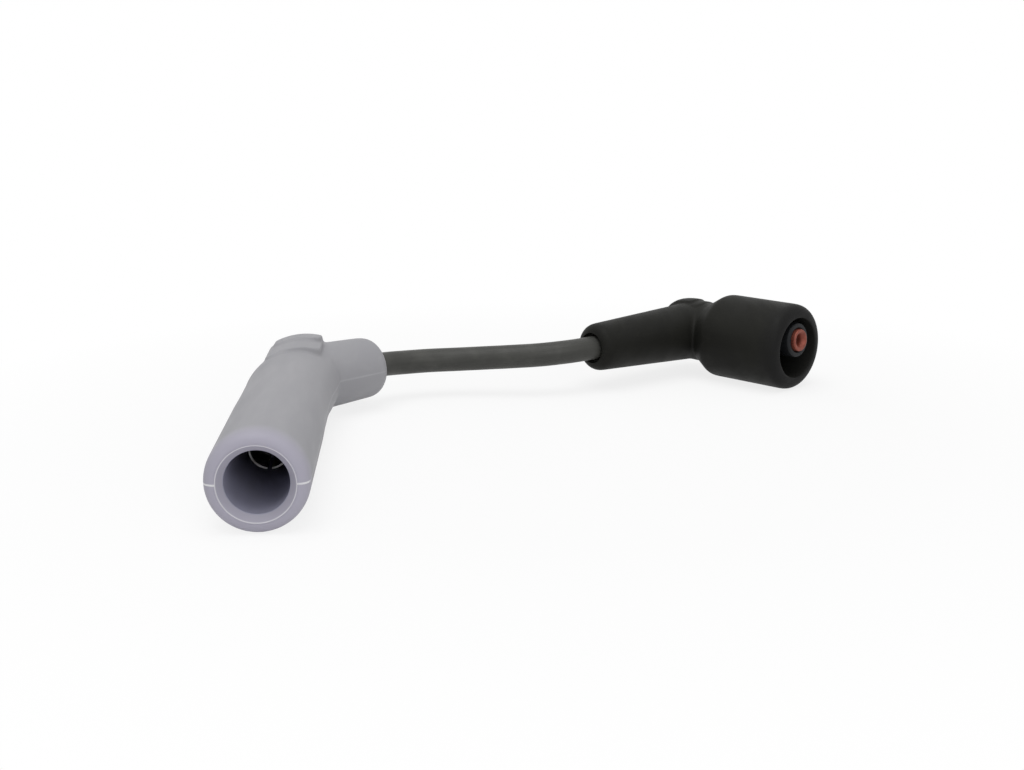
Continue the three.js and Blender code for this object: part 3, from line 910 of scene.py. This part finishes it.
@dataclass
class PlugBoot(ElbowBoot):
    """The long grey boot that slides over the spark plug, with its rolled socket and spring clip."""

    swing: float = 4.0
    swing_power: float = 1.3
    mouth_bore: float = 14.0
    mouth_bore_depth: float = 44.0
    lead_in_width: float = 1.45
    lead_in_depth: float = 1.8
    lip_width: float = 0.7
    lip_wall: float = 0.2
    groove: float = 0.1
    mouth_round: float = 3.0
    front_length: float = 42.0
    waist_diameter: float = 22.3
    waist_start: float = 56.0
    waist_end: float = 66.0
    socket_diameter: float = 9.2
    socket_sheet: float = 0.45
    socket_depth: float = 26.5
    socket_length: float = 20.0
    socket_taper: float = 4.0
    socket_seam: float = 1.2
    neck_diameter: float = 5.7
    neck_wall: float = 0.75
    neck_bend: float = 7.0
    clip_wire: float = 0.9
    clip_set_back: float = 8.0
    clip_gap: float = 70.0

    def moulding(self, material: bpy.types.Material) -> None:
        """Makes the boot itself.

        Args:
            material: Its finish.
        """
        radius, waist, bore = self.barrel_diameter / 2, self.waist_diameter / 2, self.mouth_bore / 2
        lead_in = bore + self.lead_in_width
        front, back = (radius, self.front_length), (waist, self.waist_start)
        rear, shoulder = (waist, self.waist_end), (radius, self.dome_start)
        barrel = self.swung(turned([
            (0, 0), *face_to_side((lead_in + self.lip_width, 0), (radius, self.mouth_round)),
            front, *s_bend(front, back), back,
            rear, *s_bend(rear, shoulder), *dome(shoulder, self.dome_end),
        ], step=self.row_step))
        socket_way, bottom = self.socket_diameter / 2 + CLEARANCE, self.mouth_bore_depth
        bore_cut = turned([
            (0, -1), (lead_in + 0.97, -1), (lead_in, 0), (lead_in - 0.12, 0.2), (bore, self.lead_in_depth),
            (bore, bottom - 1), (bore - 0.6, bottom), (socket_way, bottom),
            *side_to_face((socket_way, self.elbow), (0, self.elbow + socket_way)),
        ], FINE_SIDES)
        body = self.hollowed(barrel, [bore_cut, self.lip_groove(lead_in + self.lip_wall)])
        piece = finished("plug_boot_moulding", body, self.place, material, sharp=28)
        declare(piece, "plug_boot")

    def swung(self, mesh: Shape) -> Shape:
        """Carries the barrel's dome over towards the sleeve, more and more up to its tip."""
        for vert in mesh.verts:
            share = max(0.0, (vert.co.y - self.dome_start) / (self.dome_end - self.dome_start))
            vert.co.x += self.swing * share**self.swing_power
        return mesh

    def lip_groove(self, radius: float) -> Shape:
        """The shallow groove that sets the thin lip off from the mouth's face."""
        mesh = bmesh.new()
        place = Matrix.Translation((radius + self.groove, 0, 0))
        bmesh.ops.create_circle(mesh, segments=12, radius=self.groove, matrix=place)
        return spun(mesh, FINE_SIDES)

    def terminal(self, material: bpy.types.Material) -> None:
        """Makes the rolled socket, its neck through the elbow and the crimp on the cable.

        Args:
            material: Its finish.
        """
        radius, neck = self.socket_diameter / 2, self.neck_diameter / 2
        rim = self.socket_depth
        groove = rim + self.clip_set_back
        rear = rim + self.socket_length
        taper_end = rear + self.socket_taper
        socket = rolled([
            (radius + 0.12, rim), (radius + 0.12, rim + 0.25), (radius, rim + 0.7), (radius, groove - 1),
            (radius - 0.2, groove - 0.5), (radius - 0.2, groove + 0.5), (radius, groove + 1), (radius, rear),
            (neck + 0.2, taper_end), (neck + 0.2, taper_end + self.socket_taper),
        ], self.socket_seam, self.socket_sheet)
        path = elbow_path(Vector((0, taper_end, 0)), self.corner, self.crimp_neck, self.neck_bend)
        tube = swept(path, neck, neck - self.neck_wall)
        whole = merged([socket, tube, self.crimp(neck + 0.2)])
        self.add("plug_terminal_socket", whole, material, "plug_terminal", "plated_steel")

    def spring(self, material: bpy.types.Material) -> None:
        """Makes the spring clip round the socket.

        Args:
            material: Its finish.
        """
        radius = self.socket_diameter / 2 + CLEARANCE + self.clip_wire / 2
        gap = math.radians(self.clip_gap)
        steps = 48
        angles = [-math.pi / 2 + gap / 2 + step / steps * (2 * math.pi - gap) for step in range(steps + 1)]
        length = self.socket_depth + self.clip_set_back
        path = [Vector((radius * math.cos(a), length, radius * math.sin(a))) for a in angles]
        wire = swept(path, self.clip_wire / 2, sides=16)
        self.add("plug_terminal_clip", wire, material, "plug_terminal_spring", "spring_steel")


@dataclass
class CoilBoot(ElbowBoot):
    """The wide black boot that slides over the coil's tower, with its post and terminal."""

    recess_diameter: float = 18.0
    recess_depth: float = 26.0
    mouth_round: float = 3.0
    shoulder_start: float = 27.6
    shoulder_end: float = 32.8
    shoulder_slant: float = 0.07
    slant_fade: float = 8.0
    post_diameter: float = 10.4
    post_length: float = 31.0
    post_rise: float = 2.4
    ferrule_diameter: float = 6.7
    ferrule_proud: float = 1.0
    ferrule_length: float = 15.0
    ferrule_taper: float = 1.8
    hole_diameter: float = 3.1
    hole_depth: float = 13.0
    stem_diameter: float = 3.2
    stem_bend: float = 6.5

    def leaned(self) -> Matrix:
        """Leans a shape with the post, about the elbow."""
        lean = Matrix.Rotation(-math.atan(self.post_rise / self.elbow), 4, "X")
        return Matrix.Translation(self.corner) @ lean @ Matrix.Translation(-self.corner)

    def moulding(self, material: bpy.types.Material) -> None:
        """Makes the boot itself.

        Args:
            material: Its finish.
        """
        radius, neck, recess = self.barrel_diameter / 2, self.rear_diameter / 2, self.recess_diameter / 2
        barrel = self.slanted(turned([
            (0, 0), *face_to_side((radius - self.mouth_round, 0), (radius, self.mouth_round)),
            (radius, self.shoulder_start - 1), (radius - 0.25, self.shoulder_start - 0.1),
            (neck + 0.6, self.shoulder_end - 0.7), (neck + 0.1, self.shoulder_end + 0.2),
            *dome((neck, self.dome_start), self.dome_end),
        ], step=self.row_step))
        recess_cut = turned([
            (0, -1), (recess + 0.6, -1), (recess + 0.6, -0.05), (recess + 0.18, 0.18), (recess, 0.6),
            *side_to_face((recess, self.recess_depth - 2), (recess - 2, self.recess_depth)),
            (0, self.recess_depth),
        ], FINE_SIDES)
        seat, bore = self.post_diameter / 2 + CLEARANCE, self.ferrule_diameter / 2 + CLEARANCE
        post_end = self.post_length + CLEARANCE
        post_way = moved(turned([
            (0, 10), (seat, 10), (seat, post_end), (bore, post_end),
            *side_to_face((bore, self.elbow), (0, self.elbow + bore)),
        ], POST_SIDES), self.leaned())
        body = self.hollowed(barrel, [recess_cut, post_way])
        self.add("coil_boot_moulding", body, material, "coil_boot", "black_rubber")

    def slanted(self, mesh: Shape) -> Shape:
        """Slants the shoulder, so that its top lies nearer the mouth than its underside."""
        for vert in mesh.verts:
            before = (vert.co.y - self.shoulder_start) / self.slant_fade + 1
            behind = (self.dome_start - vert.co.y) / (self.dome_start - self.shoulder_end)
            vert.co.y -= self.shoulder_slant * vert.co.z * min(1.0, max(0.0, before), max(0.0, behind))
        return mesh

    def post(self, material: bpy.types.Material) -> None:
        """Makes the insulator tube that stands in the recess.

        Args:
            material: Its finish.
        """
        radius, bore, rear = self.post_diameter / 2, self.ferrule_diameter / 2 + CLEARANCE, self.post_length
        tube = moved(turned([
            (bore + 0.25, 0), *face_to_side((radius - 0.7, 0), (radius, 0.7)), (radius, rear - 0.3),
            (radius - 0.3, rear), (bore, rear), (bore, 0.25), (bore + 0.25, 0),
        ], POST_SIDES), self.leaned())
        self.add("coil_post_insulator", tube, material, "coil_post", "black_insulator")

    def terminal(self, material: bpy.types.Material) -> None:
        """Makes the ferrule in the post, its stem through the elbow and the crimp on the cable.

        Args:
            material: Its finish.
        """
        radius, hole, stem = self.ferrule_diameter / 2, self.hole_diameter / 2, self.stem_diameter / 2
        front = -self.ferrule_proud
        rear = front + self.ferrule_length
        ferrule = moved(turned([
            (0, front + self.hole_depth), (hole, front + self.hole_depth), (hole, front + 1.4),
            (hole + 0.25, front + 0.9), (hole + 0.8, front + 0.15), (hole + 1.1, front),
            *face_to_side((radius - 0.45, front), (radius, front + 0.45)),
            (radius, rear), (stem, rear + self.ferrule_taper), (0, rear + self.ferrule_taper),
        ], POST_SIDES), self.leaned())
        start = Vector((0, rear, self.post_rise * (self.elbow - rear) / self.elbow))
        rod = swept(elbow_path(start, self.corner, self.crimp_neck, self.stem_bend), stem - 0.15)
        whole = merged([ferrule, rod, self.crimp(stem)])
        self.add("coil_terminal_ferrule", whole, material, "coil_terminal", "copper_alloy")


@dataclass
class Cable:
    """The ignition cable: jacket, insulation and conductor along one route."""

    shift: Vector
    jacket_wall: float = 0.8
    conductor_diameter: float = 1.6
    per_span: int = 6
    path: list[Vector] = field(init=False)

    def __post_init__(self) -> None:
        """Works out the line of the cable, in row millimetres."""
        self.path = [point + self.shift for point in smooth_route(CABLE_ROUTE, self.per_span)]

    def unwrap(self, mesh: Shape) -> None:
        """Lays a UV map on a swept piece, in metres round it and along it.

        Args:
            mesh: The piece.
        """
        frames = frames_along(self.path)
        lengths = [0.0]
        for before, after in zip(self.path, self.path[1:]):
            lengths.append(lengths[-1] + (after - before).length)
        tree = KDTree(len(self.path))
        for number, point in enumerate(self.path):
            tree.insert(point, number)
        tree.balance()
        layer = mesh.loops.layers.uv.new(UV_MAP)
        girth = CABLE_DIAMETER / 2 * MM

        def turn_at(place: Vector) -> float:
            """The angle round the cable of a point."""
            local = frames[tree.find(place)[1]].inverted() @ place
            return math.atan2(local.y, local.x)

        for face in mesh.faces:
            middle = turn_at(face.calc_center_median())
            for loop in face.loops:
                turn = turn_at(loop.vert.co)
                turn -= 2 * math.pi * round((turn - middle) / (2 * math.pi))
                loop[layer].uv = (turn * girth, lengths[tree.find(loop.vert.co)[1]] * MM)

    def layer(
        self, name: str, radius: float, bore: float, material: bpy.types.Material, sides: int,
    ) -> bpy.types.Object:
        """Makes one layer of the cable.

        Args:
            name: The object's name.
            radius: Outer radius.
            bore: Inner radius, or 0 for a solid core.
            material: Its finish.
            sides: Flats round it.

        Returns:
            The object.
        """
        mesh = swept(self.path, radius, bore, sides)
        self.unwrap(mesh)
        return finished(name, mesh, Matrix.Scale(MM, 4), material)

    def build(self) -> None:
        bore = CABLE_DIAMETER / 2 - self.jacket_wall
        core = self.conductor_diameter / 2
        jacket = self.layer("cable_outer_jacket", CABLE_DIAMETER / 2, bore, JACKET_SILICONE.material(), 48)
        insulation = self.layer(
            "cable_rubber_insulation", bore - CLEARANCE, core + CLEARANCE, PALE_RUBBER.material(), 32,
        )
        conductor = self.layer("cable_carbon_core", core, 0, CARBON_CORE.material(), 24)
        declare(jacket, "cable_jacket")
        declare(insulation, "cable_insulation")
        declare(conductor, "cable_conductor")


@dataclass(frozen=True)
class Lamp:
    """A soft square lamp that faces the object, with its place and its side in metres."""

    name: str
    place: Colour
    size: float
    watts: float

    def hang(self) -> None:
        """Hangs the lamp."""
        data = bpy.data.lights.new(self.name, "AREA")
        data.size = self.size
        data.energy = self.watts
        lamp = bpy.data.objects.new(self.name, data)
        lamp.location = self.place
        lamp.rotation_euler = (-Vector(self.place)).to_track_quat("-Z", "Y").to_euler()
        bpy.context.scene.collection.objects.link(lamp)


LAMPS = (
    Lamp("lamp_above", (-0.1, -0.15, 0.9), size=0.8, watts=4.6),
    Lamp("lamp_front", (0.3, -0.85, 0.5), size=0.5, watts=1.5),
)


@dataclass
class Studio:
    """The camera, the pale floor, the lamps and the surround."""

    shift: Vector
    eye: Vector = field(default_factory=lambda: Vector((34.789, -271.969, 97.549)))
    yaw: float = 3.948
    pitch: float = -13.552
    focal_pixels: float = 1352.6
    picture_width: int = 1024
    sensor: float = 36.0
    floor_size: float = 6.0
    surround: float = 0.42
    white_near: float = 0.8
    white_from: float = 0.09
    white_by: float = 0.2

    def camera(self) -> None:
        """Sets the camera where the photograph was taken."""
        data = bpy.data.cameras.new("camera")
        data.sensor_width = self.sensor
        data.lens = self.focal_pixels * self.sensor / self.picture_width
        camera = bpy.data.objects.new("camera", data)
        camera.location = (self.eye + self.shift) * MM
        camera.rotation_euler = (math.radians(90 + self.pitch), 0, -math.radians(self.yaw))
        bpy.context.scene.collection.objects.link(camera)
        bpy.context.scene.camera = camera

    def floor(self) -> None:
        """Lays the pale floor, which turns plain white away from the object."""
        mesh = bmesh.new()
        bmesh.ops.create_grid(mesh, x_segments=1, y_segments=1, size=self.floor_size / 2)
        floor = as_object(mesh, "floor")
        paint = bpy.data.materials.new("floor_paint")
        sheet = NodeSheet(paint)
        sheet.set(sheet.shader.inputs["Base Color"], (0.93, 0.93, 0.93))
        sheet.set(sheet.shader.inputs["Roughness"], 0.9)
        sheet.set(sheet.shader.inputs["Specular IOR Level"], 0.1)
        distance = sheet.add("VectorMath", {0: sheet.place}, operation="LENGTH").outputs["Value"]
        share = sheet.span(distance, (self.white_from, self.white_by), (self.white_near, 1.0))
        shown = sheet.math("MULTIPLY", share, sheet.seen())
        white = sheet.add("Emission", {"Color": (1.0, 1.0, 1.0), "Strength": 1.0}).outputs[0]
        mixed = sheet.add("MixShader", {0: shown, 1: sheet.shader.outputs[0], 2: white}).outputs[0]
        sheet.set(sheet.tree.nodes["Material Output"].inputs["Surface"], mixed)
        floor.data.materials.append(paint)

    def light(self) -> None:
        """Lights the object softly from above, and makes the surround white to the camera."""
        for lamp in LAMPS:
            lamp.hang()
        world = bpy.data.worlds.new("surround")
        sheet = NodeSheet(world, "Background")
        sheet.set(sheet.shader.inputs["Color"], (1.0, 1.0, 1.0))
        strength = sheet.span(sheet.seen(), (0.0, 1.0), (self.surround, 1.0))
        sheet.set(sheet.shader.inputs["Strength"], strength)
        bpy.context.scene.world = world
        bpy.context.scene.view_settings.view_transform = "Standard"


def plug_boot(shift: Vector) -> PlugBoot:
    """The plug boot with its sizes, on a route that is shifted to the row frame."""
    return PlugBoot(
        shift, exit=PLUG_EXIT, inside_end=CABLE_ROUTE[0], barrel_diameter=PLUG_DIAMETER, elbow=94.1,
        turn=50.2, sleeve_length=27.6, sleeve_root=19.4, sleeve_end=17.4, sleeve_end_round=4,
        rear_diameter=PLUG_DIAMETER, dome_start=74, dome_end=104.5,
        pads=(
            Pad(0.85, crown=14.5, shift=1.8, rear=88, front=80, slant=0.5, left=-6.2, right=7.9, corner=2),
            Pad(1.6, crown=18, shift=3.2, rear=92, front=90, slant=0.2, left=-5.1, right=7.6, corner=2),
        ),
    )


def coil_boot(shift: Vector) -> CoilBoot:
    """The coil boot with its sizes, on a route that is shifted to the row frame."""
    return CoilBoot(
        shift, exit=COIL_EXIT, inside_end=CABLE_ROUTE[-1], barrel_diameter=26, elbow=39.7, turn=-85.2,
        sleeve_length=44.8, sleeve_root=18.2, sleeve_end=14.4, sleeve_end_round=3, rear_diameter=18.6,
        dome_start=38, dome_end=49, exit_flare=1.6, blend_times=18, blend_reach=22, even_times=13,
        pads=(
            Pad(0.35, crown=9.6, shift=0, rear=38, front=35, slant=0, left=-4.2, right=5.5, corner=2),
            Pad(0.8, crown=10, shift=0, rear=38, front=38.6, slant=0, left=-3.2, right=4.5, corner=1.5),
        ),
    )


def main() -> None:
    """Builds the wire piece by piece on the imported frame."""
    logging.basicConfig(level=logging.INFO, format="%(name)s: %(message)s")
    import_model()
    low = Vector(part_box("plug_boot")[0]) / MM
    shift = Vector((low.x + PLUG_DIAMETER / 2, low.y, 0))
    plug, coil = plug_boot(shift), coil_boot(shift)
    studio = Studio(shift)
    studio.camera()
    Cable(shift).build()
    for boot, finish, metal in ((plug, GREY_SILICONE, PLATED_STEEL), (coil, BLACK_RUBBER, COPPER_ALLOY)):
        boot.moulding(boot.finish(finish))
        boot.terminal(metal.material())
    plug.spring(SPRING_STEEL.material())
    coil.post(coil.finish(HARD_INSULATOR))
    studio.floor()
    studio.light()


if __name__ == "__main__":
    main()
